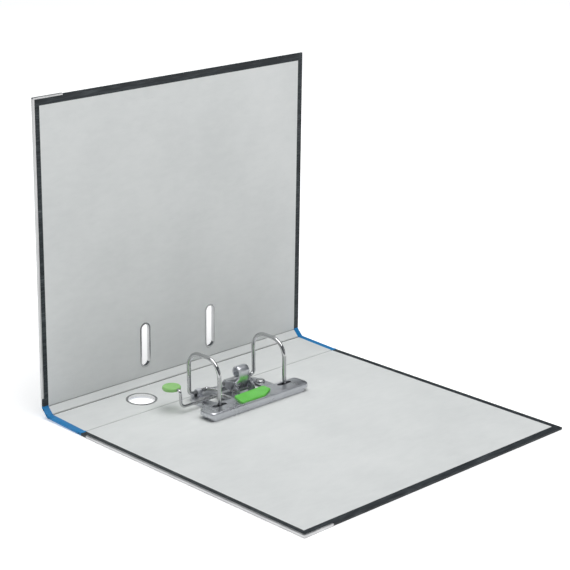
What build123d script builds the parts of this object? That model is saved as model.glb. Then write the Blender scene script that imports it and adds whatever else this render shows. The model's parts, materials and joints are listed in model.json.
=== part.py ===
"""A lever arch file, open: back cover flat, front cover upright, arches and lever closed.

Frame: +X away from the spine across the back cover, +Y towards the top edge of the file,
+Z up from the table. Y = 0 is half way up the file, and X = 0 is the middle of its footprint.
"""
from build123d import *
from math import asin, atan2, cos, degrees, hypot, radians, sin, sqrt
import os

os.makedirs("parts", exist_ok=True)

# Covers and spine
half_height = 159.0  # half of the 318 mm file height
cover_depth = 283.0  # lower crease to free edge
spine_width = 48.0  # between the creases on either side of the spine
strip_width = 10.0  # narrow hinge strip between spine and front cover
cover_thickness = 2.4
skin = 0.25  # cover paper, spine cloth and lining
crease_gap = 1.35  # from a crease line to the board beside it
crease_radius = 1.15
turn_in_side = 7.0  # cover paper folded over the free edge
turn_in_end = 6.0  # and over the top and bottom edges
edge_round = 0.5  # on the outer edges of every panel

# Fold angles of the open file
spine_tilt = 2.0
cover_lean = 1.1  # of the upright front cover, from the vertical towards the back cover
cover_fold = (90.0 - cover_lean - spine_tilt) / 2  # at each of the strip's two creases

# Metal edge guard on the lower edge of each cover and round its free corner
guard_sheet = 0.4
guard_proud = 0.5
guard_reach = 4.0  # over the outer side, where it lies flush
guard_lip = 1.2  # over the lining side
guard_lip_rise = 0.3  # above the lining side
guard_corner = 1.0
guard_round = 0.35
guard_start = 9.0
guard_return = 31.0

# Spine fittings
pull_ring_height = 89.0  # above the lower edge of the file
pull_hole_radius = 12.5
pull_ring_wall = 0.6
pull_flange_radius = 15.0
pull_flange_thickness = 0.3
pull_lip_radius = 14.5
inner_lip = 0.3  # of the pull ring and the slot rings, above the lining
label_width = 38.0
label_length = 192.0
label_from_top = 20.0
label_band = 5.0
label_thickness = 0.15

# Slots in the front cover that the arches close into
slot_length = 41.0
slot_width = 9.0
slot_start = 11.0
slot_wall = 0.5
slot_flange = 2.5
flange_thickness = 0.5
slot_lip = 1.5
ring_round = 0.2
cut_margin = 1.0  # how far a cutting prism runs past the panel

# Lever arch mechanism, with X measured from the lower crease
hole_spacing = 80.0  # standard two-hole punching
wire_radius = 1.9
plate_sheet = 1.2
plate_rise = 3.8  # top of the pressed base plate above the lining
post_from_crease = 51.0
axle_from_crease = 9.0
axle_rise = 7.0  # axle above the lining
arch_rise = 49.6  # centre of the arch's crown above the lining
near_shoulder = 16.0
far_shoulder = 15.0
joint_angle = 45.0  # where the post's tip meets the arch, up from the horizontal
joint_gap_angle = 1.4
crank_radius = 11.0
crank_half_length = 14.0
crank_ramp = 5.0  # along the axle, from its line out to the crank
wire_bend = 2.4  # radius of the crank's bends
running_clearance = 0.08

# Lever
lever_pivot_from_crease = 39.0
lever_pivot_rise = 10.2
lever_half_width = 9.0
lever_sheet = 1.2
pivot_pin_radius = 1.5
roller_from_crease = 21.7
roller_rise = 12.8
roller_radius = 3.6
roller_pin_radius = 1.2
curl_from_crease = 35.5
curl_rise = 27.0
curl_radius = 5.0  # to the middle of the rolled sheet
curl_turn = 285.0
curl_half_width = 6.0

# Press bar, which slides up the posts
bar_from = 44.5
bar_to = 64.5
bar_half_length = 60.0
bar_lift = 0.2  # above the base plate
bar_height = 4.6
bar_round = 2.0
bar_corner = 5.0
bar_slot_length = 16.0
bar_slot_play = 0.6  # each side of a post

# Places that follow from the dimensions
half_thick = cover_thickness / 2
bottom_edge = half_height - guard_proud
strip_angle = spine_tilt + cover_fold  # above the horizontal
cover_angle = 90.0 - cover_lean
reach_left = (
    spine_width * cos(radians(spine_tilt))
    + strip_width * cos(radians(strip_angle))
    + (half_thick + flange_thickness) * sin(radians(cover_angle))
    - (slot_start - slot_flange) * cos(radians(cover_angle))
)
reach_right = cover_depth + guard_proud
crease_x = (reach_left - reach_right) / 2
lining_top = cover_thickness
plate_top = lining_top + plate_rise
axle = (crease_x + axle_from_crease, lining_top + axle_rise)
pivot = (crease_x + lever_pivot_from_crease, lining_top + lever_pivot_rise)
roller_centre = (crease_x + roller_from_crease, lining_top + roller_rise)
curl_centre = (crease_x + curl_from_crease, lining_top + curl_rise)
post_x = crease_x + post_from_crease
post_y = hole_spacing / 2


def panel_plane(start, angle):
    """Middle plane of a panel that leaves `start` at `angle` above +X, its lining side along +Z."""
    direction = Vector(cos(radians(angle)), 0, sin(radians(angle)))
    lining_side = Vector(sin(radians(angle)), 0, -cos(radians(angle)))
    if angle == 0:
        lining_side = Vector(0, 0, 1)
    return Plane(origin=start, x_dir=direction, z_dir=lining_side)


lower_crease = Vector(crease_x, 0, half_thick)
back_plane = panel_plane(lower_crease, 0)
spine_plane = panel_plane(lower_crease, 180 - spine_tilt)
spine_crease = spine_plane.from_local_coords(Vector(spine_width, 0, 0))
strip_plane = panel_plane(spine_crease, 180 - strip_angle)
cover_crease = strip_plane.from_local_coords(Vector(strip_width, 0, 0))
front_plane = panel_plane(cover_crease, cover_angle)


def save(part, label):
    """Label a finished piece and write it out."""
    part.label = label
    export_step(part, f"parts/{label}.step")


def rectangle_between(x_from, x_to, y_from, y_to):
    """A rectangle given by its two sides and two ends, inside a sketch."""
    with Locations(((x_from + x_to) / 2, (y_from + y_to) / 2)):
        Rectangle(abs(x_to - x_from), abs(y_to - y_from))


def slab(plane, x_range, y_range, z_range):
    """A flat block in a panel's own directions."""
    with BuildPart() as block:
        with BuildSketch(plane.offset(z_range[0])):
            rectangle_between(*x_range, *y_range)
        extrude(amount=z_range[1] - z_range[0])
    return block.part


def crease(start):
    """The folded cloth along a crease, as a slim round bead."""
    with BuildPart() as bead:
        with BuildSketch(Plane.XZ.offset(-half_height)):
            with Locations((start.X, start.Z)):
                Circle(crease_radius)
        extrude(amount=half_height + bottom_edge)
    return bead.part


def guard_strip(plane, down, reach, z_range):
    """A strip along a cover's lower edge and round its free corner, from `reach` inside the edges to
    the guard's outer side. `down` is the y direction of the lower edge."""
    low = bottom_edge * down
    outer_x = cover_depth + guard_proud
    outer_y = low + guard_proud * down
    with BuildPart() as strip:
        with BuildSketch(plane.offset(z_range[0])):
            rectangle_between(guard_start, outer_x, low - reach * down, outer_y)
            rectangle_between(cover_depth - reach, outer_x, low - guard_return * down, outer_y)
        extrude(amount=z_range[1] - z_range[0])
    return strip.part


def make_guard(plane, down):
    """The edge guard: a channel with a wide leg outside, the wall over the edge, and a short lip inside."""
    lip_top = half_thick + guard_lip_rise
    with BuildPart() as guard:
        add(guard_strip(plane, down, guard_reach, (-half_thick, -half_thick + guard_sheet)))
        add(guard_strip(plane, down, 0, (-half_thick, lip_top)))
        add(guard_strip(plane, down, guard_lip, (lip_top - guard_sheet, lip_top)))
        corner = guard.edges().filter_by(Axis(plane.origin, plane.z_dir)).sort_by(Axis(plane.origin, plane.x_dir))
        fillet(corner[-4:].sort_by(Axis.Y)[0], guard_corner)
        fillet(guard.faces().sort_by(Axis(plane.origin, plane.z_dir))[-1].outer_wire().edges(), guard_round)
    return guard.part


def panel_skins(plane, length_range, down, side_turn_in):
    """Board, outer paper with its folded-over borders, and lining of one panel."""
    x_low, x_high = length_range
    low = bottom_edge * down
    high = -half_height * down
    side_skin = skin if side_turn_in else 0
    board = slab(plane, (x_low, x_high - side_skin), (low - skin * down, high + skin * down),
                 (-half_thick + skin, half_thick - skin))
    lining = slab(plane, (x_low, x_high - side_turn_in), (low - turn_in_end * down, high + turn_in_end * down),
                  (half_thick - skin, half_thick))
    along = Axis(plane.origin, plane.x_dir)
    with BuildPart() as paper:
        add(slab(plane, (x_low, x_high), (low, high), (-half_thick, half_thick)))
        rounded = paper.edges().filter_by(along)
        if side_turn_in:
            rounded += paper.faces().sort_by(along)[-1].edges().filter_by(Axis.Y)
        fillet(rounded, edge_round)
        add(board, mode=Mode.SUBTRACT)
        add(lining, mode=Mode.SUBTRACT)
    return board, paper.part, lining


def cut(part, *tools):
    """A piece with other shapes taken out of it."""
    with BuildPart() as result:
        add(part)
        for tool in tools:
            add(tool, mode=Mode.SUBTRACT)
    return result.part


def slot_prism(plane, length, width, z_range):
    """Round-ended prisms, one for each arch slot, along the panel's x direction."""
    with BuildPart() as prism:
        with BuildSketch(plane.offset(z_range[0])):
            with Locations(*[(slot_start + slot_length / 2, side * post_y) for side in (-1, 1)]):
                SlotOverall(length, width)
        extrude(amount=z_range[1] - z_range[0])
    return prism.part


# ---------------------------------------------------------------- covers

rivet_places = [(22.5, -36.0), (22.5, 36.0), (54.5, -51.0), (54.5, 51.0)]  # from the lower crease
rivet_shank_radius = 2.0
rivet_dome_radius = 4.5
rivet_dome_height = 1.9
rivet_dome_round = 1.6
rivet_head_radius = 4.0
rivet_head_height = 0.4

with BuildPart() as base_rivets:
    spots = [(crease_x + along, across) for along, across in rivet_places]
    for height, radius, start in (
        (rivet_head_height, rivet_head_radius, 0),
        (plate_top, rivet_shank_radius, 0),
        (rivet_dome_height, rivet_dome_radius, plate_top),
    ):
        with BuildSketch(Plane.XY.offset(start)):
            with Locations(*spots):
                Circle(radius)
        extrude(amount=height)
    fillet(base_rivets.edges().group_by(Axis.Z)[-1], rivet_dome_round)


def make_cover(plane, down, name, tools):
    """One cover: board, paper, lining and edge guard, with openings cut by `tools`."""
    board, paper, lining = panel_skins(plane, (crease_gap, cover_depth), down, turn_in_side)
    guard = make_guard(plane, down)
    save(cut(board, guard, *tools), f"{name}_board")
    save(cut(paper, guard, *tools), f"{name}_cover_paper")
    save(cut(lining, *tools), f"{name}_lining")
    save(guard, f"{name}_edge_guard")


slot_cut = slot_prism(front_plane, slot_length + 2 * slot_wall, slot_width + 2 * slot_wall,
                      (-half_thick - cut_margin, half_thick + cut_margin))
make_cover(back_plane, -1, "back", [base_rivets.part])
make_cover(front_plane, 1, "front", [slot_cut])
save(base_rivets.part, "base_rivets")
save(crease(lower_crease), "lower_crease")
save(crease(spine_crease), "spine_crease")
save(crease(cover_crease), "cover_crease")

# Slot rings: a tube through the cover with an outer flange and a small inner lip
with BuildPart() as slot_rings:
    add(slot_prism(front_plane, slot_length + 2 * slot_wall, slot_width + 2 * slot_wall,
                   (-half_thick - flange_thickness, half_thick + inner_lip)))
    add(slot_prism(front_plane, slot_length + 2 * slot_flange, slot_width + 2 * slot_flange,
                   (-half_thick - flange_thickness, -half_thick)))
    add(slot_prism(front_plane, slot_length + 2 * slot_lip, slot_width + 2 * slot_lip,
                   (half_thick, half_thick + inner_lip)))
    add(slot_prism(front_plane, slot_length, slot_width, (-half_thick - cut_margin, half_thick + cut_margin)), mode=Mode.SUBTRACT)
    for outer_face in slot_rings.faces().sort_by(Axis.X)[:2]:
        fillet(outer_face.edges(), ring_round)
lower_ring, upper_ring = slot_rings.part.solids().sort_by(Axis.Y)
save(Part(lower_ring.wrapped), "lower_slot_ring")
save(Part(upper_ring.wrapped), "upper_slot_ring")

# Spine, with a finger hole for pulling the file off a shelf
pull_ring_y = bottom_edge - pull_ring_height
with BuildPart() as pull_hole:
    with BuildSketch(spine_plane.offset(-half_thick - cut_margin)):
        with Locations((spine_width / 2, pull_ring_y)):
            Circle(pull_hole_radius + pull_ring_wall)
    extrude(amount=cover_thickness + 2 * cut_margin)

spine_board, spine_cloth, spine_lining = panel_skins(
    spine_plane, (crease_gap, spine_width - crease_gap), 1, 0
)
save(cut(spine_board, pull_hole.part), "spine_board")
save(cut(spine_cloth, pull_hole.part), "spine_cloth")
save(cut(spine_lining, pull_hole.part), "spine_lining")

with BuildPart() as pull_ring:
    for z_low, z_high, radius in (
        (-half_thick - pull_flange_thickness, -half_thick, pull_flange_radius),
        (-half_thick, half_thick, pull_hole_radius + pull_ring_wall),
        (half_thick, half_thick + inner_lip, pull_lip_radius),
    ):
        with BuildSketch(spine_plane.offset(z_low)):
            with Locations((spine_width / 2, pull_ring_y)):
                Circle(radius)
                Circle(pull_hole_radius, mode=Mode.SUBTRACT)
        extrude(amount=z_high - z_low)
    outside = Axis(spine_plane.origin, spine_plane.z_dir)
    fillet(pull_ring.faces().sort_by(outside)[0].edges(), ring_round)
save(pull_ring.part, "pull_ring")

label_top = -half_height + label_from_top
label_sides = (spine_width / 2 - label_width / 2, spine_width / 2 + label_width / 2)
label_depth = (-half_thick - label_thickness, -half_thick)
band_top = label_top + label_length - label_band
save(slab(spine_plane, label_sides, (label_top, band_top), label_depth), "title_label")
save(slab(spine_plane, label_sides, (band_top, band_top + label_band), label_depth), "label_band")

# Hinge strip between spine and front cover
strip_board, strip_cloth, strip_lining = panel_skins(strip_plane, (crease_gap, strip_width - crease_gap), 1, 0)
save(strip_board, "strip_board")
save(strip_cloth, "strip_cloth")
save(strip_lining, "strip_lining")

# ---------------------------------------------------------------- mechanism base

ear_inside = lever_half_width + 0.6
ear_radius = 4.0
ear_root = 0.3  # of each ear inside the plate's sheet
plate_corners = [(3.0, 33.5), (13.0, 41.0), (41.0, 42.0), (46.0, 57.0), (63.0, 57.0)]  # of the plate's upper half
plate_corner_radius = 4.0
plate_edge_radius = 1.0
window_from, window_to = 16.5, 35.5
window_y = 24.0
window_length = 14.0
window_radius = 3.0


def plate_outline(inset):
    """The base plate's outline, drawn `inset` inside its edge."""
    upper = [(crease_x + x, y) for x, y in plate_corners]
    lower = [(x, -y) for x, y in reversed(upper)]
    with BuildSketch(Plane.XY, mode=Mode.PRIVATE) as outline:
        with BuildLine():
            Polyline(*upper, *lower, close=True)
        make_face()
        fillet(outline.vertices(), plate_corner_radius)
        offset(amount=-inset, mode=Mode.REPLACE)
    return outline.sketch


# A sheet pressed into a shallow pan, upside down, with two windows and the ears for the lever's pin
with BuildPart() as base_plate:
    with BuildSketch(Plane.XY.offset(lining_top)):
        add(plate_outline(0))
    extrude(amount=plate_rise)
    fillet(base_plate.faces().sort_by(Axis.Z)[-1].outer_wire().edges(), plate_edge_radius)
    with BuildSketch(Plane.XY.offset(lining_top)):
        add(plate_outline(plate_sheet))
    extrude(amount=plate_rise - plate_sheet, mode=Mode.SUBTRACT)
    with BuildSketch(Plane.XY.offset(lining_top)):
        for side in (-1, 1):
            with Locations((crease_x + (window_from + window_to) / 2, side * window_y)):
                RectangleRounded(window_to - window_from, window_length, window_radius)
            with Locations((post_x, side * post_y)):
                Circle(wire_radius)
    extrude(amount=plate_rise, mode=Mode.SUBTRACT)
    for side in (-1, 1):
        with BuildSketch(Plane.XZ.offset(-side * ear_inside)) as ear:
            with Locations(pivot):
                Circle(ear_radius)
            rectangle_between(pivot[0] - ear_radius, pivot[0] + ear_radius, plate_top - ear_root, pivot[1])
            with Locations(pivot):
                Circle(pivot_pin_radius, mode=Mode.SUBTRACT)
        extrude(amount=-side * plate_sheet)
    add(base_rivets.part, mode=Mode.SUBTRACT)
save(base_plate.part, "base_plate")

# Fixed posts: straight up from the cover through the plate, then leaning over to meet the arches
near_centre = (post_x - near_shoulder, lining_top + arch_rise - near_shoulder)
far_centre = (axle[0] + far_shoulder, lining_top + arch_rise - far_shoulder)


def sweep_wire(path, radius):
    """A round wire along a path, inside a part."""
    with BuildSketch(Plane(origin=path @ 0, z_dir=path % 0)) as section:
        Circle(radius)
    sweep(sections=section.sketch, path=path)


for side, post_name in ((-1, "lower_post"), (1, "upper_post")):
    with BuildPart() as post:
        with BuildLine(Plane.XZ.offset(-side * post_y)) as post_path:
            Line((post_x, lining_top), (post_x, near_centre[1]))
            CenterArc(near_centre, near_shoulder, 0, joint_angle)
        sweep_wire(post_path.line, wire_radius)
    save(post.part, post_name)

# One bent wire makes both arches, their far legs, the axle and the crank
elbow = 4.0
axle_half = post_y - elbow
with BuildPart() as arch_yoke:
    for side in (-1, 1):
        with BuildLine(Plane.XZ.offset(-side * post_y)) as bow:
            CenterArc(near_centre, near_shoulder, joint_angle + joint_gap_angle, 90 - joint_angle - joint_gap_angle)
            Line((near_centre[0], near_centre[1] + near_shoulder), (far_centre[0], far_centre[1] + far_shoulder))
            CenterArc(far_centre, far_shoulder, 90, 90)
            Line((axle[0], far_centre[1]), (axle[0], axle[1] + elbow))
        sweep_wire(bow.line, wire_radius)
        with BuildLine(Plane.YZ.offset(axle[0])) as foot:
            CenterArc((side * axle_half, axle[1] + elbow), elbow, 180 if side < 0 else 270, 90)
        sweep_wire(foot.line, wire_radius)
    with BuildLine(Plane.XY.offset(axle[1])) as axle_path:
        crank_start = crank_half_length + crank_ramp
        FilletPolyline(
            (axle[0], -axle_half), (axle[0], -crank_start), (axle[0] + crank_radius, -crank_half_length),
            (axle[0] + crank_radius, crank_half_length), (axle[0], crank_start), (axle[0], axle_half),
            radius=wire_bend,
        )
    sweep_wire(axle_path.line, wire_radius)
save(arch_yoke.part, "arch_yoke")

# Saddle straps that hold the axle down on the plate
strap_y = 29.5
strap_half_width = 2.5
strap_sheet = 0.9
strap_foot = 5.6  # from the axle to the end of either foot
strap_outer = wire_radius + running_clearance + strap_sheet
with BuildPart() as axle_straps:
    for side in (-1, 1):
        with BuildSketch(Plane.XZ.offset(-side * strap_y)):
            with Locations(axle):
                Circle(strap_outer)
            rectangle_between(axle[0] - strap_outer, axle[0] + strap_outer, plate_top, axle[1])
            rectangle_between(axle[0] - strap_foot, axle[0] + strap_foot, plate_top, plate_top + strap_sheet)
            hollow = wire_radius + running_clearance
            with Locations(axle):
                Circle(hollow, mode=Mode.SUBTRACT)
            with Locations((axle[0], (plate_top + axle[1]) / 2)):
                Rectangle(2 * hollow, axle[1] - plate_top, mode=Mode.SUBTRACT)
        extrude(amount=strap_half_width, both=True)
save(axle_straps.part, "axle_straps")

# Opening spring: a coil round the axle
spring_wire = 0.35
spring_radius = 2.6
spring_pitch = 1.1
spring_turns = 5
spring_start = 20.4
with BuildPart() as opening_spring:
    with BuildLine():
        coil = Helix(
            pitch=spring_pitch, height=spring_pitch * spring_turns, radius=spring_radius,
            center=(axle[0], spring_start, axle[1]), direction=(0, 1, 0),
        )
    sweep_wire(coil, spring_wire)
save(opening_spring.part, "opening_spring")

# ---------------------------------------------------------------- lever

cheek_radius = 4.0  # round the pivot
roller_eye_radius = 2.8
cheek_corner = (2.5, 6.4)  # top of the cheek, back from the pivot and up
cheek_corner_radius = 1.6
web_foot = (crease_x + 34.0, lining_top + 8.5)  # lowest point of the web, between the cheeks
shoulder_low, shoulder_high = 15.5, 22.5  # above the lining, where the web narrows to the curl
foot_to_curl = (curl_centre[0] - web_foot[0], curl_centre[1] - web_foot[1])
web_length = sqrt(hypot(*foot_to_curl) ** 2 - curl_radius**2)
web_angle = degrees(atan2(foot_to_curl[1], foot_to_curl[0]) - asin(curl_radius / hypot(*foot_to_curl)))

with BuildPart() as finger_lever:
    # A strip that runs up from between the cheeks and rolls over into the finger curl
    web_plane = Plane(origin=(web_foot[0], lever_half_width, web_foot[1]), z_dir=(0, -1, 0),
                      x_dir=(cos(radians(web_angle)), 0, sin(radians(web_angle))))
    with BuildSketch(web_plane):
        with BuildLine():
            half_sheet = lever_sheet / 2
            inner, outer = curl_radius - half_sheet, curl_radius + half_sheet
            Polyline((web_length, -half_sheet), (0, -half_sheet), (0, half_sheet), (web_length, half_sheet))
            inner_curl = CenterArc((web_length, curl_radius), inner, -90, curl_turn)
            outer_curl = CenterArc((web_length, curl_radius), outer, -90, curl_turn)
            Line(inner_curl @ 1, outer_curl @ 1)
        make_face()
    extrude(amount=2 * lever_half_width)
    with BuildSketch(Plane.YZ.offset(crease_x)):
        upper_edge = curl_centre[1] + 2 * curl_radius
        with BuildLine():
            Polyline(
                (-lever_half_width, lining_top), (lever_half_width, lining_top),
                (lever_half_width, lining_top + shoulder_low), (curl_half_width, lining_top + shoulder_high),
                (curl_half_width, upper_edge), (-curl_half_width, upper_edge),
                (-curl_half_width, lining_top + shoulder_high), (-lever_half_width, lining_top + shoulder_low),
                close=True,
            )
        make_face()
    extrude(amount=2 * curl_from_crease, mode=Mode.INTERSECT)
    for side in (-1, 1):
        with BuildSketch(Plane.XZ.offset(-side * lever_half_width)) as cheek:
            with Locations(pivot):
                Circle(cheek_radius)
            with Locations(roller_centre):
                Circle(roller_eye_radius)
            with Locations((pivot[0] - cheek_corner[0], pivot[1] + cheek_corner[1])):
                Circle(cheek_corner_radius)
            make_hull()
            with Locations(pivot):
                Circle(pivot_pin_radius + running_clearance, mode=Mode.SUBTRACT)
            with Locations(roller_centre):
                Circle(roller_pin_radius, mode=Mode.SUBTRACT)
        extrude(amount=side * lever_sheet)
save(finger_lever.part, "finger_lever")


def headed_pin(centre, radius, half_length, head_radius, head_height, name):
    """A pin along Y with a low head on each end."""
    with BuildPart() as pin:
        with BuildSketch(Plane.XZ.offset(-half_length)):
            with Locations(centre):
                Circle(radius)
        extrude(amount=2 * half_length)
        for side in (-1, 1):
            with BuildSketch(Plane.XZ.offset(-side * half_length)):
                with Locations(centre):
                    Circle(head_radius)
            extrude(amount=-side * head_height)
    save(pin.part, name)


pivot_head = (2.5, 0.7)  # radius and height
roller_head = (1.9, 0.4)
headed_pin(pivot, pivot_pin_radius, ear_inside + plate_sheet, *pivot_head, "lever_pivot_pin")
headed_pin(roller_centre, roller_pin_radius, lever_half_width, *roller_head, "roller_pin")

roller_end_play = 0.4
roller_chamfer = 0.4
roller_half_length = lever_half_width - lever_sheet - roller_end_play
with BuildPart() as lever_roller:
    with BuildSketch(Plane.XZ.offset(-roller_half_length)):
        with Locations(roller_centre):
            Circle(roller_radius)
            Circle(roller_pin_radius + running_clearance, mode=Mode.SUBTRACT)
    extrude(amount=2 * roller_half_length)
    chamfer(lever_roller.edges().filter_by(GeomType.CIRCLE).sort_by(SortBy.RADIUS)[-2:], roller_chamfer)
save(lever_roller.part, "lever_roller")

# ---------------------------------------------------------------- press bar

bar_bottom = plate_top + bar_lift
bar_top = bar_bottom + bar_height
bar_middle = crease_x + (bar_from + bar_to) / 2
bar_width = bar_to - bar_from


def bar_outline(inset):
    """The press bar's outline with rounded ends, drawn `inset` inside its edge."""
    with Locations((bar_middle, 0)):
        RectangleRounded(bar_width - 2 * inset, 2 * (bar_half_length - inset), bar_corner - inset)


with BuildPart() as press_bar:
    with BuildSketch(Plane.XY.offset(bar_bottom)):
        bar_outline(0)
    extrude(amount=bar_height)
    fillet(press_bar.faces().sort_by(Axis.Z)[-1].edges(), bar_round)
    with BuildSketch(Plane.XY.offset(bar_bottom)):
        bar_outline(plate_sheet)
    extrude(amount=bar_height - plate_sheet, mode=Mode.SUBTRACT)
    with BuildSketch(Plane.XY.offset(bar_bottom)):
        with Locations(*[(post_x, side * post_y) for side in (-1, 1)]):
            SlotOverall(bar_slot_length, 2 * (wire_radius + bar_slot_play), rotation=90)
    extrude(amount=bar_height, mode=Mode.SUBTRACT)
save(press_bar.part, "press_bar")

pad_corners = [(46.5, -18.5), (63.0, -24.0), (63.5, 4.5), (55.0, 19.0), (45.0, 19.0)]  # from the crease
pad_corner_radius = 2.0
pad_thickness = 2.0
pad_round = 0.9
with BuildPart() as press_pad:
    with BuildSketch(Plane.XY.offset(bar_top)) as pad_outline:
        with BuildLine():
            Polyline(*[(crease_x + x, y) for x, y in pad_corners], close=True)
        make_face()
        fillet(pad_outline.vertices(), pad_corner_radius)
    extrude(amount=pad_thickness)
    fillet(press_pad.faces().sort_by(Axis.Z)[-1].edges(), pad_round)
save(press_pad.part, "press_pad")

# Bent wire handle that brings the thumb knob back beside the spine
handle_radius = 1.4
knob_radius = 8.5
knob_thickness = 4.0
knob_round = 1.5
knob_place = (crease_x + 14.0, -65.0, 24.0)
handle_low = plate_top + 2.4
handle_points = [
    (crease_x + bar_from, -17.0, handle_low),  # where the wire joins the bar
    (crease_x + 28.0, -17.0, handle_low),
    (crease_x + 27.0, -65.0, handle_low),
    (crease_x + 26.0, -65.0, knob_place[2]),
    knob_place,
]
handle_bends = (4.0, 5.0, 2.6)
with BuildPart() as handle_wire:
    with BuildLine() as handle_path:
        FilletPolyline(*handle_points, radius=handle_bends)
    sweep_wire(handle_path.line, handle_radius)
save(handle_wire.part, "handle_wire")

with BuildPart() as knob:
    with BuildSketch(Plane.XY.offset(knob_place[2] - knob_thickness / 2)):
        with Locations(knob_place[:2]):
            Circle(knob_radius)
    extrude(amount=knob_thickness)
    fillet(knob.edges(), knob_round)
    add(handle_wire.part, mode=Mode.SUBTRACT)
save(knob.part, "thumb_knob")
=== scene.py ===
"""Looks for the open lever arch file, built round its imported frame. Metres, +Z up."""

import json
from math import cos, pi, radians, sin

import bmesh
import bpy
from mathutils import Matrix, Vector


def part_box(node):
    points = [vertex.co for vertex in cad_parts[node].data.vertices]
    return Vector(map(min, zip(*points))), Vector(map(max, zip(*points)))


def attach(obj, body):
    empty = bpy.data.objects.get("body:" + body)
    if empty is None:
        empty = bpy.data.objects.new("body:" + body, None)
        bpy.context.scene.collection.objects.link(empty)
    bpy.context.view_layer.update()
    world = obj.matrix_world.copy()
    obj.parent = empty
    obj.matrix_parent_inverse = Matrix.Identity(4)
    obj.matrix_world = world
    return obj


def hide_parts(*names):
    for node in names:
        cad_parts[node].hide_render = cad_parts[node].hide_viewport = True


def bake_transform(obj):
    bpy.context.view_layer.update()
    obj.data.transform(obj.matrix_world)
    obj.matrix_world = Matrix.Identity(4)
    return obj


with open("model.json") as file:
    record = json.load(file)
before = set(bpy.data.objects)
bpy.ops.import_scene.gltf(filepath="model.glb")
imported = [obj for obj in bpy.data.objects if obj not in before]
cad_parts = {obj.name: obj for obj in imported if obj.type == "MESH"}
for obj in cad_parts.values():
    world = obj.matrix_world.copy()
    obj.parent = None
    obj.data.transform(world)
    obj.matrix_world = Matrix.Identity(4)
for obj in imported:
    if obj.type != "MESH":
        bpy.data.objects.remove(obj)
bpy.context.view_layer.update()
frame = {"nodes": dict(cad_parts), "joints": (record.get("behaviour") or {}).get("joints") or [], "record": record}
MM = 0.001
WHITE = (1, 1, 1, 1)
joints = {joint["name"]: joint for joint in frame["joints"]}


# ------------------------------------------------ materials

class Finish:
    """One procedural material: small helpers that add nodes to its tree."""

    def __init__(self, name, roughness=0.5, metallic=0.0, specular=0.5, coat=0.0):
        self.material = bpy.data.materials.new(name)
        self.material.use_nodes = True
        self.nodes = self.material.node_tree.nodes
        self.links = self.material.node_tree.links
        self.shader = self.nodes["Principled BSDF"]
        self.shader.inputs["Roughness"].default_value = roughness
        self.shader.inputs["Metallic"].default_value = metallic
        self.shader.inputs["Specular IOR Level"].default_value = specular
        self.shader.inputs["Coat Weight"].default_value = coat
        self.place = self.nodes.new("ShaderNodeTexCoord").outputs["Object"]

    def put(self, value, socket):
        """Link an output, or set a plain value."""
        if isinstance(value, bpy.types.NodeSocket):
            self.links.new(value, socket)
        else:
            socket.default_value = value

    def stretched(self, x, y, z):
        """Object coordinates multiplied along each axis."""
        node = self.nodes.new("ShaderNodeMapping")
        self.links.new(self.place, node.inputs["Vector"])
        node.inputs["Scale"].default_value = (x, y, z)
        return node.outputs["Vector"]

    def noise(self, scale, detail=3.0, roughness=0.5, stretch=(1, 1, 1), distortion=0.0):
        """Cloudy value from 0 to 1, `scale` features to the metre."""
        node = self.nodes.new("ShaderNodeTexNoise")
        self.links.new(self.stretched(*stretch), node.inputs["Vector"])
        node.inputs["Scale"].default_value = scale
        node.inputs["Detail"].default_value = detail
        node.inputs["Roughness"].default_value = roughness
        node.inputs["Distortion"].default_value = distortion
        return node.outputs["Fac"]

    def cells(self, scale, stretch=(1, 1, 1)):
        """Distance to the nearest of scattered points."""
        node = self.nodes.new("ShaderNodeTexVoronoi")
        self.links.new(self.stretched(*stretch), node.inputs["Vector"])
        node.inputs["Scale"].default_value = scale
        return node.outputs["Distance"]

    def math(self, operation, a, b=0.0, c=0.0):
        """One arithmetic step."""
        node = self.nodes.new("ShaderNodeMath")
        node.operation = operation
        for value, socket in zip((a, b, c), node.inputs):
            self.put(value, socket)
        return node.outputs["Value"]

    def spread(self, value, low, high, to_low=0.0, to_high=1.0):
        """Remap a value between two limits, smoothly, and clamp it."""
        node = self.nodes.new("ShaderNodeMapRange")
        node.interpolation_type = "SMOOTHSTEP"
        for socket, given in zip(node.inputs, (value, low, high, to_low, to_high)):
            self.put(given, socket)
        return node.outputs["Result"]

    def ramp(self, value, *stops):
        """Colour along a ramp of (position, (r, g, b)) stops."""
        node = self.nodes.new("ShaderNodeValToRGB")
        self.links.new(value, node.inputs["Fac"])
        elements = node.color_ramp.elements
        while len(elements) < len(stops):
            elements.new(0.5)
        for element, (position, colour) in zip(elements, stops):
            element.position = position
            element.color = (*colour, 1)
        return node.outputs["Color"]

    def mix(self, share, a, b):
        """Blend of two colours."""
        node = self.nodes.new("ShaderNodeMix")
        node.data_type = "RGBA"
        self.put(share, node.inputs["Factor"])
        for value, socket in ((a, node.inputs["A"]), (b, node.inputs["B"])):
            self.put(value if isinstance(value, bpy.types.NodeSocket) else (*value, 1), socket)
        return node.outputs["Result"]

    def axis(self, letter):
        """One object coordinate, in metres."""
        node = self.nodes.new("ShaderNodeSeparateXYZ")
        self.links.new(self.place, node.inputs["Vector"])
        return node.outputs[letter]

    def bump(self, *layers):
        """Relief from (height value, depth in metres) layers."""
        normal = None
        for height, depth in layers:
            node = self.nodes.new("ShaderNodeBump")
            node.inputs["Distance"].default_value = depth
            self.links.new(height, node.inputs["Height"])
            if normal:
                self.links.new(normal, node.inputs["Normal"])
            normal = node.outputs["Normal"]
        self.links.new(normal, self.shader.inputs["Normal"])

    def colour(self, value):
        """Use an output as the base colour."""
        self.links.new(value, self.shader.inputs["Base Color"])

    def roughness(self, value):
        """Use an output as the roughness."""
        self.links.new(value, self.shader.inputs["Roughness"])


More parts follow.
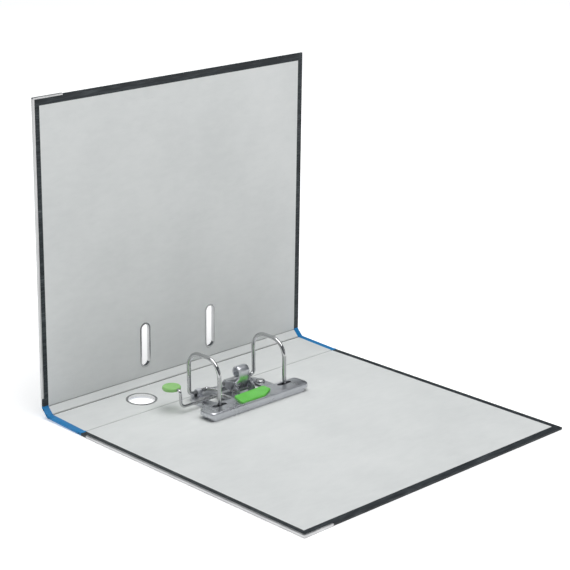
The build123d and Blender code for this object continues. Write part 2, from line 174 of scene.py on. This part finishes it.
def marbled_paper():
    """Black cover paper with soft grey fibre streaks along the file's height."""
    f = Finish("marbled_paper", specular=0.25)
    fine = f.noise(780, 4, 0.6, (1, 0.085, 1), 0.4)
    broad = f.noise(210, 3, 0.55, (1, 0.16, 1), 0.6)
    cloud = f.noise(26, 3, 0.5, (1, 0.5, 1))
    mixed = f.math("ADD", f.math("MULTIPLY", fine, 0.5), f.math("MULTIPLY", broad, 0.32))
    mixed = f.math("ADD", mixed, f.math("MULTIPLY", cloud, 0.18))
    base = f.ramp(mixed, (0.36, (0.008, 0.011, 0.013)), (0.50, (0.022, 0.027, 0.031)),
                  (0.60, (0.050, 0.058, 0.063)), (0.72, (0.100, 0.110, 0.116)))
    fleck = f.spread(f.noise(420, 2, 0.5, (1, 0.22, 1)), 0.66, 0.76)
    patch = f.spread(f.noise(60, 2), 0.50, 0.66)
    shown = f.math("MULTIPLY", f.math("MULTIPLY", fleck, patch), 0.55)
    f.colour(f.mix(shown, base, (0.20, 0.21, 0.215)))
    f.roughness(f.spread(fine, 0.3, 0.7, 0.44, 0.60))
    f.bump((fine, 0.00006), (f.noise(2600, 2), 0.00003))
    return f.material


def lining_paper():
    """Pale grey lining with a faint mottle and a few fibres."""
    f = Finish("lining_paper", roughness=0.72, specular=0.3)
    cloud = f.noise(14, 3, 0.5)
    mottle = f.noise(170, 4, 0.6, (1, 0.4, 1))
    mixed = f.math("ADD", f.math("MULTIPLY", cloud, 0.6), f.math("MULTIPLY", mottle, 0.4))
    base = f.ramp(mixed, (0.35, (0.625, 0.640, 0.634)), (0.55, (0.668, 0.682, 0.675)),
                  (0.75, (0.705, 0.715, 0.708)))
    fibre = f.spread(f.noise(900, 2, 0.5, (1, 0.12, 1), 1.5), 0.70, 0.78)
    f.colour(f.mix(f.math("MULTIPLY", fibre, 0.35), base, (0.50, 0.52, 0.525)))
    f.roughness(f.spread(mottle, 0.3, 0.7, 0.64, 0.80))
    f.bump((f.noise(1500, 3), 0.00003), (f.noise(45, 2, 0.5, (1, 0.5, 1)), 0.00035))
    return f.material


def crease_shade_paper(name, dark, light):
    """Lining pressed down into a crease, painted darker there as the crease's shade."""
    f = Finish(name, roughness=0.85, specular=0.2)
    fibre = f.noise(420, 4, 0.6, (1, 0.15, 1))
    f.colour(f.ramp(fibre, (0.35, dark), (0.65, light)))
    f.roughness(f.spread(fibre, 0.3, 0.7, 0.78, 0.92))
    f.bump((f.noise(1500, 3), 0.00003))
    return f.material


def spine_blue():
    """Blue embossed cover cloth of the spine, slightly scuffed."""
    f = Finish("spine_blue", specular=0.3, coat=0.04)
    tone = f.noise(38, 4, 0.55)
    base = f.ramp(tone, (0.3, (0.006, 0.165, 0.405)), (0.55, (0.008, 0.200, 0.475)),
                  (0.8, (0.013, 0.230, 0.515)))
    scuff = f.spread(f.noise(240, 5, 0.7, (1, 0.35, 1), 0.8), 0.64, 0.80)
    f.colour(f.mix(f.math("MULTIPLY", scuff, 0.30), base, (0.10, 0.33, 0.56)))
    grain = f.cells(1900, (1, 0.75, 1))
    f.roughness(f.spread(tone, 0.3, 0.7, 0.34, 0.46))
    f.bump((grain, 0.00004), (f.noise(420, 3), 0.00004))
    return f.material


def grey_board():
    """Pressed grey board, seen only at cut edges."""
    f = Finish("grey_board", roughness=0.85, specular=0.2)
    layers = f.noise(900, 4, 0.6, (0.15, 0.15, 1))
    f.colour(f.ramp(layers, (0.3, (0.25, 0.235, 0.21)), (0.7, (0.40, 0.38, 0.345))))
    f.bump((layers, 0.0001))
    return f.material


def metal(name, dark, light, smooth, rough, brushed=(1, 1, 1)):
    """Plated or bare steel: faint clouding, fine drawing lines and hairline scratches."""
    f = Finish(name, metallic=1.0)
    cloud = f.noise(60, 3, 0.5)
    lines = f.noise(2400, 3, 0.6, brushed)
    scratch = f.spread(f.noise(900, 2, 0.5, (0.12, 1, 1), 2.0), 0.68, 0.74)
    f.colour(f.ramp(cloud, (0.3, dark), (0.7, light)))
    worn = f.math("ADD", f.spread(cloud, 0.3, 0.7, smooth, rough), f.math("MULTIPLY", scratch, 0.10))
    f.roughness(f.math("ADD", worn, f.math("MULTIPLY", lines, 0.04)))
    f.bump((lines, 0.000004), (scratch, 0.000006))
    return f.material


def moulded_plastic(name, dark, light, smooth, rough, grain):
    """Moulded plastic with a fine spark-eroded grain and faint flow clouding."""
    f = Finish(name, specular=0.5, coat=0.1)
    cloud = f.noise(90, 3, 0.5)
    f.colour(f.ramp(cloud, (0.3, dark), (0.7, light)))
    speckle = f.noise(grain, 2, 0.6)
    f.roughness(f.spread(speckle, 0.35, 0.65, smooth, rough))
    f.bump((speckle, 0.00003), (cloud, 0.00012))
    return f.material


def label_print():
    """White label with four blank ruled writing lines."""
    f = Finish("label_print", specular=0.45, coat=0.05)
    low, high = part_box("title_label")
    first_line = high.y - 53 * MM
    spacing = 30 * MM
    last_line = first_line - 3 * spacing
    line_half = 0.3 * MM
    margin = 4 * MM
    y, x = f.axis("Y"), f.axis("X")
    wave = f.math("PINGPONG", f.math("SUBTRACT", y, first_line), spacing / 2)
    line = f.math("LESS_THAN", wave, line_half)
    inside_y = f.math("MULTIPLY", f.math("GREATER_THAN", y, last_line - 2 * line_half),
                      f.math("LESS_THAN", y, first_line + 2 * line_half))
    inside_x = f.math("MULTIPLY", f.math("GREATER_THAN", x, low.x + margin),
                      f.math("LESS_THAN", x, high.x - margin))
    drawn = f.math("MULTIPLY", line, f.math("MULTIPLY", inside_y, inside_x))
    paper = f.ramp(f.noise(60, 4), (0.3, (0.80, 0.815, 0.82)), (0.7, (0.86, 0.865, 0.865)))
    f.colour(f.mix(drawn, paper, (0.30, 0.31, 0.32)))
    f.roughness(f.spread(f.noise(300, 2), 0.3, 0.7, 0.36, 0.48))
    f.bump((f.noise(1800, 2), 0.00002))
    return f.material


def label_ink():
    """The dark printed band at the foot of the label."""
    f = Finish("label_ink", specular=0.4)
    speckle = f.noise(700, 3, 0.6)
    f.colour(f.ramp(speckle, (0.3, (0.010, 0.009, 0.010)), (0.75, (0.030, 0.028, 0.028))))
    f.roughness(f.spread(speckle, 0.3, 0.7, 0.38, 0.5))
    f.bump((speckle, 0.00002))
    return f.material


finishes = {
    "board": grey_board(),
    "marbled_paper": marbled_paper(),
    "lining_paper": lining_paper(),
    "spine_blue": spine_blue(),
    "label_paper": label_print(),
    "label_black": label_ink(),
    "guard_steel": metal("guard_steel", (0.45, 0.45, 0.455), (0.57, 0.57, 0.57), 0.26, 0.36,
                         brushed=(1, 0.03, 1)),
    "nickel": metal("nickel", (0.47, 0.475, 0.48), (0.56, 0.565, 0.57), 0.10, 0.18),
    "nickel_plate": metal("nickel_plate", (0.56, 0.57, 0.60), (0.64, 0.65, 0.68), 0.24, 0.34,
                          brushed=(1, 0.05, 1)),
    "spring_steel": metal("spring_steel", (0.30, 0.30, 0.31), (0.42, 0.42, 0.43), 0.22, 0.32),
    "roller_steel": metal("roller_steel", (0.40, 0.41, 0.42), (0.52, 0.53, 0.54), 0.18, 0.30),
    "green_plastic": moulded_plastic("green_plastic", (0.115, 0.50, 0.060), (0.145, 0.57, 0.085),
                                     0.30, 0.44, grain=1600),
    "green_knob": moulded_plastic("green_knob", (0.235, 0.50, 0.150), (0.30, 0.58, 0.20),
                                  0.38, 0.52, grain=1300),
}
slot_of = {part["node"]: part["material_slot"] for part in frame["record"]["subparts"]}
for name, node in frame["nodes"].items():
    node.data.materials.clear()
    node.data.materials.append(finishes[slot_of[name]])


# ------------------------------------------------ cloth and lining across the creases

HALF_THICK = 1.2 * MM  # of a covered panel
CREASE_GAP = 1.35 * MM  # from the crease line to the board on either side
WING = 1.6 * MM  # of a crease piece over the panel beside it
EDGE_WING = 0.3 * MM  # where the spine cloth ends against a cover's paper
PROUD = 0.03 * MM  # of a crease piece over the panel's face beside the crease
DIP = 0.06 * MM  # how far a wing's end goes into the panel
CLOTH = 0.3 * MM  # thickness
PAPER = 0.2 * MM  # thickness
TURN_IN = 6.0 * MM  # of the cloth over the lining side at each end
TURN_STEP = 0.1 * MM  # length over which the turned-in cloth ends
BULGE = HALF_THICK + 0.35 * MM  # height of the turned-in cloth over the crease line
END_ROUND = 0.35 * MM  # at the ends of the cloth
WANDER = 0.08 * MM  # unevenness of the pressed lining
LINING_STEPS = 40  # along the file
ARC_STEPS = 8  # across the bend
SHADE_STRIP_REACH = 5  # samples of the painted shade strip either side of its middle
SHADE_STRIP_SINK = 0.05 * MM  # of the painted shade strip into the lining beside it
SHARP_ANGLE = radians(35)  # edges over this stay sharp in the shading


def crease_point(joint):
    """A cover joint's place in the X-Z plane."""
    place = joints[joint]["pos_m"]
    return Vector((place[0], place[2]))


def lining_side(direction):
    """Unit normal on the lining side of a panel that runs along `direction` in the X-Z plane."""
    return Vector((direction.y, -direction.x))


class Crease:
    """Cross-section of one crease, in the X-Z plane, between the panels on either side."""

    def __init__(self, joint, toward, away, wings=(WING, WING)):
        self.point = crease_point(joint)
        self.toward = toward
        self.turn = toward.angle_signed(away)
        self.wings = wings
        flats = [CREASE_GAP * share for share in (1, 0.8, 0.6, 0.4, 0.2)]
        before = [(-CREASE_GAP - wings[0] * share, 0) for share in (1, 0.5)]
        before += [(-step, 0) for step in flats]
        middle = [(0, step / ARC_STEPS) for step in range(ARC_STEPS + 1)]
        after = [(step, 1) for step in reversed(flats)]
        after += [(CREASE_GAP + wings[1] * share, 1) for share in (0.5, 1)]
        self.samples = before + middle + after

    def at(self, along, share, rise):
        """The point `along` the panels from the crease and `rise` towards the lining side."""
        angle = -self.turn * share
        direction = Vector((self.toward.x * cos(angle) - self.toward.y * sin(angle),
                            self.toward.x * sin(angle) + self.toward.y * cos(angle)))
        return self.point + direction * along + lining_side(direction) * rise

    def settle(self, along):
        """Height over the panel's face: a little proud beside the crease, inside at the wing's end."""
        reach = max(0.0, (abs(along) - CREASE_GAP) / self.wings[along > 0])
        return PROUD - (PROUD + DIP) * reach

    def outside(self, depth):
        """The cloth's line on the outer side, `depth` under its surface."""
        return [self.at(along, share, -(HALF_THICK + self.settle(along) - depth))
                for along, share in self.samples]

    def inside(self, groove, depth):
        """The lining's line, which sinks to `groove` above the crease between the boards."""
        edge_in = self.at(-CREASE_GAP, 0, HALF_THICK + PROUD)
        edge_out = self.at(CREASE_GAP, 1, HALF_THICK + PROUD)
        middle = self.at(0, 0.5, groove)
        pull = middle * 2 - (edge_in + edge_out) / 2
        rounding = 1e-9
        bridge = [i for i, (along, _) in enumerate(self.samples) if abs(along) <= CREASE_GAP + rounding]
        line = []
        for i, (along, share) in enumerate(self.samples):
            if i in bridge:
                u = (i - bridge[0]) / (bridge[-1] - bridge[0])
                place = edge_in * (1 - u) ** 2 + pull * 2 * u * (1 - u) + edge_out * u * u
            else:
                place = self.at(along, share, HALF_THICK + self.settle(along))
            line.append(place + self.inward(share) * depth)
        return line

    def inward(self, share):
        """Unit vector from the lining into the cover at the crease."""
        return -(self.at(0, share, 1.0) - self.point)


def loft(name, sections, material):
    """A closed piece through (y, outer line, inner line) sections of equal length."""
    mesh = bmesh.new()
    skin_rings(mesh, [[(p.x, y, p.y) for p in outer + inner[::-1]] for y, outer, inner in sections])
    return finish_mesh(name, mesh, material)


def skin_rings(mesh, places):
    """Add a closed skin through rings of equally many points."""
    rings = [[mesh.verts.new(place) for place in ring] for ring in places]
    for one, other in zip(rings, rings[1:]):
        for i in range(len(one)):
            j = (i + 1) % len(one)
            mesh.faces.new((one[i], one[j], other[j], other[i]))
    mesh.faces.new(rings[0])
    mesh.faces.new(rings[-1][::-1])


def finish_mesh(name, mesh, material):
    """Make an object of a finished mesh, with its material and material slot."""
    bmesh.ops.recalc_face_normals(mesh, faces=mesh.faces)
    data = bpy.data.meshes.new(name)
    mesh.to_mesh(data)
    mesh.free()
    piece = bpy.data.objects.new(name, data)
    bpy.context.scene.collection.objects.link(piece)
    data.materials.append(material)
    data.shade_smooth()
    data.set_sharp_from_angle(angle=SHARP_ANGLE)
    return piece


def wander(y, phase):
    """A slow, small unevenness along the file, from -1 to 1."""
    return 0.6 * sin(y / (31 * MM) + phase) + 0.4 * sin(y / (11.3 * MM) + 2.1 * phase)


paper_low, paper_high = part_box("back_cover_paper")
file_low, file_high = paper_low.y, paper_high.y
lower, upper, cover = (crease_point(j) for j in ("spine_fold", "strip_fold", "cover_fold"))
along_root = Vector((-1, 0))
along_spine = (upper - lower).normalized()
along_strip = (cover - upper).normalized()
board_low, board_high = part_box("front_board")
board_centre = (board_low + board_high) / 2
along_cover = (Vector((board_centre.x, board_centre.z)) - cover).normalized()


def narrow(line, lift):
    """The middle stretch of a crease's lining line, moved `lift` along its own outward normal."""
    middle = len(line) // 2
    stretch = line[middle - SHADE_STRIP_REACH:middle + SHADE_STRIP_REACH + 1]
    across = (stretch[-1] - stretch[0]).normalized()
    return [place + lining_side(across) * lift for place in stretch]


def make_crease(name, joint, toward, away, groove, painted_shade, phase, wings=(WING, WING)):
    """The blue cloth outside a crease, turned in at both ends, and the lining inside it with a strip
    of painted shade along its groove. `groove` is the lining's height over the crease line, the next
    argument is the material of the painted shade strip, and `wings` is how far the cloth runs over the panel on
    either side."""
    crease = Crease(joint, toward, away, wings)
    lined = Crease(joint, toward, away)
    thick = crease.outside(0), crease.inside(BULGE, 0)
    shrunk = crease.outside(END_ROUND), crease.inside(BULGE - END_ROUND, END_ROUND)
    thin = crease.outside(0), crease.outside(CLOTH)
    from_end = ((0, shrunk), (END_ROUND, thick), (TURN_IN, thick), (TURN_IN + TURN_STEP, thin))
    sections = [(file_low + inset, *lines) for inset, lines in from_end]
    sections += [(file_high - inset, *lines) for inset, lines in reversed(from_end)]
    cloth = loft(f"{name}_cloth", sections, finishes["spine_blue"])
    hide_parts(name)
    lining_sections = []
    for step in range(LINING_STEPS + 1):
        y = file_low + TURN_IN + (file_high - file_low - 2 * TURN_IN) * step / LINING_STEPS
        depth = groove + WANDER * wander(y, phase)
        lining_sections.append((y, lined.inside(depth, PAPER), lined.inside(depth, 0)))
    lining = loft(f"{name}_lining", lining_sections, finishes["lining_paper"])
    # A narrow strip of painted shade laid along the middle of the lining's groove.
    shade_strip_sections = [(y, narrow(inner, -SHADE_STRIP_SINK), narrow(inner, SHADE_STRIP_SINK))
                     for y, _, inner in lining_sections]
    line = loft(f"{name}_score", shade_strip_sections, painted_shade)
    for piece in (cloth, lining, line):
        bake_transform(piece)


# Painted shade: a dark strip along the spine crease and paler grey strips along the other two creases, standing in
# for the shadow in each groove.
deep_crease_shade = crease_shade_paper("deep_crease_shade", (0.10, 0.10, 0.10), (0.17, 0.17, 0.168))
faint_crease_shade = crease_shade_paper("faint_crease_shade", (0.40, 0.41, 0.405), (0.48, 0.49, 0.485))
make_crease("lower_crease", "spine_fold", along_root, along_spine,
            groove=0.70 * MM, painted_shade=faint_crease_shade, phase=0.4, wings=(EDGE_WING, WING))
make_crease("spine_crease", "strip_fold", along_spine, along_strip,
            groove=0.35 * MM, painted_shade=deep_crease_shade, phase=1.9)
make_crease("cover_crease", "cover_fold", along_strip, along_cover,
            groove=0.90 * MM, painted_shade=faint_crease_shade, phase=3.3, wings=(WING, EDGE_WING))


# ------------------------------------------------ pressed finger lever

SHEET = 1.2 * MM
CURL_FROM_PIVOT = Vector((-3.5, 16.8)) * MM  # centre of the rolled finger tip
CURL_RADIUS = 5.0 * MM  # to the middle of the sheet
CURL_TURN = radians(262)
# points that bow the web, from the pivot, upwards
WEB_BOW = [Vector(place) * MM for place in ((-4.8, -1.7), (-2.4, 2.0), (1.5, 8.4))]
CHEEK_INSIDE, CHEEK_OUTSIDE = 7.8 * MM, 9.0 * MM  # faces of a cheek, from the middle of the lever
CURL_HALF_WIDTH = 6.0 * MM
SHOULDER = (4.5 * MM, 12.0 * MM)  # heights over the pivot between which the web narrows
FOOT_DRAW, CURL_DRAW = 2.6 * MM, 0.6 * MM  # how far the sheet's sides are drawn back
CHEEK_EDGE = 0.3 * MM  # rounding
# circles that the cheek's outline goes round: (near, shift, radius), in millimetres
CHEEK_CIRCLES = (("pivot", (0, 0), 4.0), ("pivot", (-2.5, 6.4), 1.6), ("roller", (0, 0), 2.8))
ACROSS = 14  # spaces across the web
WEB_STEPS, CURL_STEPS, CIRCLE_STEPS = 16, 40, 48

pivot_place, roller_place = (Vector((joints[j]["pos_m"][0], joints[j]["pos_m"][2]))
                             for j in ("lever_swing", "roller_spin"))


def smooth_step(value, low, high):
    """0 below `low`, 1 above `high`, and a smooth rise between."""
    share = min(1.0, max(0.0, (value - low) / (high - low)))
    return share * share * (3 - 2 * share)


def lever_path():
    """Points and outward normals up the bowed web and round the finger curl, in the X-Z plane."""
    centre = pivot_place + CURL_FROM_PIVOT
    control = [pivot_place + place for place in WEB_BOW] + [centre + Vector((CURL_RADIUS, 0))]
    line = []
    for step in range(WEB_STEPS):
        t = step / WEB_STEPS
        weights = ((1 - t) ** 3, 3 * t * (1 - t) ** 2, 3 * t * t * (1 - t), t ** 3)
        line.append(sum((c * w for c, w in zip(control, weights)), Vector((0, 0))))
    for step in range(CURL_STEPS + 1):
        angle = CURL_TURN * step / CURL_STEPS
        line.append(centre + Vector((cos(angle), sin(angle))) * CURL_RADIUS)
    neighbours = zip([line[0]] + line, line[1:] + [line[-1]])
    tangents = [(after - before).normalized() for before, after in neighbours]
    return [(place, Vector((t.y, -t.x))) for place, t in zip(line, tangents)]


def web_ring(place, normal):
    """Cross-section of the pressed sheet: crowned across its width, its sides drawn back."""
    rise = place.y - pivot_place.y
    narrowing = smooth_step(rise, *SHOULDER)
    half_width = CHEEK_OUTSIDE + (CURL_HALF_WIDTH - CHEEK_OUTSIDE) * narrowing
    drawn_back = FOOT_DRAW + (CURL_DRAW - FOOT_DRAW) * narrowing
    outer, inner = [], []
    for step in range(ACROSS + 1):
        share = 2 * step / ACROSS - 1
        middle = place - normal * drawn_back * abs(share) ** 3
        for side, row in ((0.5, outer), (-0.5, inner)):
            point = middle + normal * SHEET * side
            row.append((point.x, half_width * sin(share * pi / 2), point.y))
    return outer + inner[::-1]


def cheek_outline(inset):
    """Outline round the pivot, the top corner and the roller's eye, `inset` inside the edge."""
    places = {"pivot": pivot_place, "roller": roller_place}
    circles = [(places[near] + Vector(shift) * MM, radius * MM) for near, shift, radius in CHEEK_CIRCLES]
    angles = [2 * pi * step / CIRCLE_STEPS for step in range(CIRCLE_STEPS)]
    spots = [(c + Vector((cos(a), sin(a))) * r, c + Vector((cos(a), sin(a))) * (r - inset))
             for c, r in circles for a in angles]
    spots.sort(key=lambda spot: (spot[0].x, spot[0].y))
    hull = []
    for row in (spots, spots[::-1]):
        chain = []
        for spot in row:
            while len(chain) > 1 and (chain[-1][0] - chain[-2][0]).cross(spot[0] - chain[-1][0]) <= 0:
                chain.pop()
            chain.append(spot)
        hull += chain[:-1]
    return [inner for _, inner in hull]


def make_lever():
    """The lever of pressed sheet: bowed web, rolled finger tip and two cheeks."""
    mesh = bmesh.new()
    skin_rings(mesh, [web_ring(*station) for station in lever_path()])
    full, shrunk = cheek_outline(0), cheek_outline(CHEEK_EDGE)
    for side in (-1, 1):
        stations = ((CHEEK_INSIDE, shrunk), (CHEEK_INSIDE + CHEEK_EDGE, full),
                    (CHEEK_OUTSIDE - CHEEK_EDGE, full), (CHEEK_OUTSIDE, shrunk))
        skin_rings(mesh, [[(p.x, side * y, p.y) for p in outline] for y, outline in stations])
    lever = finish_mesh("pressed_lever", mesh, finishes["nickel_plate"])
    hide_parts("finger_lever")
    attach(lever, "lever")


make_lever()


# ------------------------------------------------ stage, light and camera

FLOOR_HALF = 8.0
FLOOR_DROP = 0.2 * MM  # under the file, so that their faces don't meet
GLOW_NEAR, GLOW_FAR = (0.15, 0.42), (1.2, 0.72)  # (distance, strength) of the floor's glow
LIGHT_AIM = (0.0, 0.0, 0.1)
CAMERA_AZIMUTH, CAMERA_ELEVATION = radians(46.467), radians(17.69)
CAMERA_AIM = Vector((-0.0191, -0.0001, 0.1256))
CAMERA_DISTANCE = 1.55
LENS, SENSOR = 111.506, 36  # millimetres


def make_floor():
    """A plain pale floor that glows a little more with distance."""
    mesh = bmesh.new()
    mesh.faces.new([mesh.verts.new((x * FLOOR_HALF, y * FLOOR_HALF, -FLOOR_DROP))
                    for x, y in ((-1, -1), (1, -1), (1, 1), (-1, 1))])
    f = Finish("studio_floor", roughness=0.6, specular=0.25)
    f.colour(f.ramp(f.noise(3, 2), (0.3, (0.88, 0.88, 0.88)), (0.7, (0.90, 0.90, 0.90))))
    distance = f.nodes.new("ShaderNodeVectorMath")
    distance.operation = "LENGTH"
    f.links.new(f.place, distance.inputs[0])
    f.shader.inputs["Emission Color"].default_value = WHITE
    glow = f.spread(distance.outputs["Value"], GLOW_NEAR[0], GLOW_FAR[0], GLOW_NEAR[1], GLOW_FAR[1])
    f.links.new(glow, f.shader.inputs["Emission Strength"])
    data = bpy.data.meshes.new("studio_floor")
    mesh.to_mesh(data)
    mesh.free()
    data.materials.append(f.material)
    floor = bpy.data.objects.new("studio_floor", data)
    bpy.context.scene.collection.objects.link(floor)


def softbox(name, place, size, power):
    """A large soft area light, turned to the file."""
    lamp = bpy.data.lights.new(name, "AREA")
    lamp.shape = "RECTANGLE"
    lamp.size, lamp.size_y = size
    lamp.energy = power
    light = bpy.data.objects.new(name, lamp)
    light.location = place
    light.rotation_euler = (Vector(LIGHT_AIM) - Vector(place)).to_track_quat("-Z", "Y").to_euler()
    bpy.context.scene.collection.objects.link(light)


def make_camera():
    """The camera at its azimuth and elevation round the point that it looks at."""
    level = cos(CAMERA_ELEVATION)
    back = Vector((sin(CAMERA_AZIMUTH) * level, -cos(CAMERA_AZIMUTH) * level, sin(CAMERA_ELEVATION)))
    lens = bpy.data.cameras.new("camera")
    lens.lens = LENS
    lens.sensor_width = SENSOR
    camera = bpy.data.objects.new("camera", lens)
    camera.location = CAMERA_AIM + back * CAMERA_DISTANCE
    camera.rotation_euler = (pi / 2 - CAMERA_ELEVATION, 0, CAMERA_AZIMUTH)
    bpy.context.scene.collection.objects.link(camera)
    bpy.context.scene.camera = camera


make_floor()
softbox("top_light", (0.33, 0.05, 2.1), (2.2, 2.2), 50)
softbox("left_light", (-0.7, -1.9, 0.9), (0.9, 1.4), 3)
softbox("right_light", (1.9, 1.0, 0.8), (0.8, 1.2), 2.2)
make_camera()

world = bpy.data.worlds.new("studio")
bpy.context.scene.world = world
world.use_nodes = True
background = world.node_tree.nodes["Background"]
background.inputs["Color"].default_value = (0.86, 0.93, 1.0, 1)
background.inputs["Strength"].default_value = 0.15
bpy.context.scene.view_settings.view_transform = "Standard"
